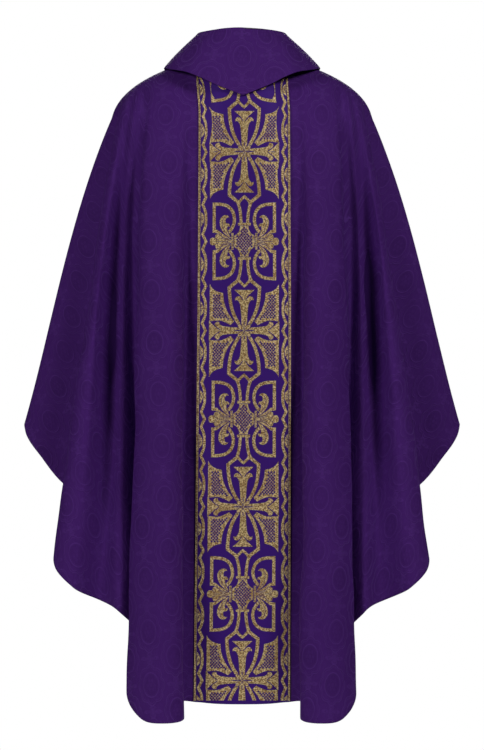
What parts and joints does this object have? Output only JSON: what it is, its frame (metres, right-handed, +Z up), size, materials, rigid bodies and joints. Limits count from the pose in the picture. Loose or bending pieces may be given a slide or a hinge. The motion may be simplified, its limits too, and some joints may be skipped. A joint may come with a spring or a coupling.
{
  "type": "chasuble",
  "caption": "Lined Gothic chasuble with a turned-down collar pointed at back and front and a woven orphrey down the middle of each side, hanging as it does when worn.",
  "frame": {"origin": "middle of the neck opening, level with the points where the neck edge meets the shoulder line", "axes": "+Z up along the hanging cloth, +Y out of the wearer's chest and +X to the wearer's right, so the wearer's back faces -Y"},
  "size_m": [0.816, 0.5161, 1.2544],
  "materials": {
    "damask": "deep purple tone-on-tone woven damask with a low satin sheen",
    "lining": "plain purple satin lining",
    "orphrey": "purple satin ground with a woven figure in metallic gold yarn",
    "braid": "narrow woven edging in metallic gold yarn",
    "interlining": "undyed stiffening canvas",
    "tape": "purple twill binding tape"
  },
  "bodies": {
    "root": {"back_collar_interlining": "interlining", "back_lining_left": "lining", "back_lining_right": "lining", "back_orphrey": "orphrey", "back_orphrey_braid_left": "braid", "back_orphrey_braid_right": "braid", "back_orphrey_interlining": "interlining", "back_panel_left": "damask", "back_panel_right": "damask", "back_under_collar": "damask", "back_upper_collar": "damask", "front_collar_interlining": "interlining", "front_lining_left": "lining", "front_lining_right": "lining", "front_orphrey": "orphrey", "front_orphrey_braid_left": "braid", "front_orphrey_braid_right": "braid", "front_orphrey_interlining": "interlining", "front_panel_left": "damask", "front_panel_right": "damask", "front_under_collar": "damask", "front_upper_collar": "damask", "neck_binding": "tape"}
  },
  "joints": []
}
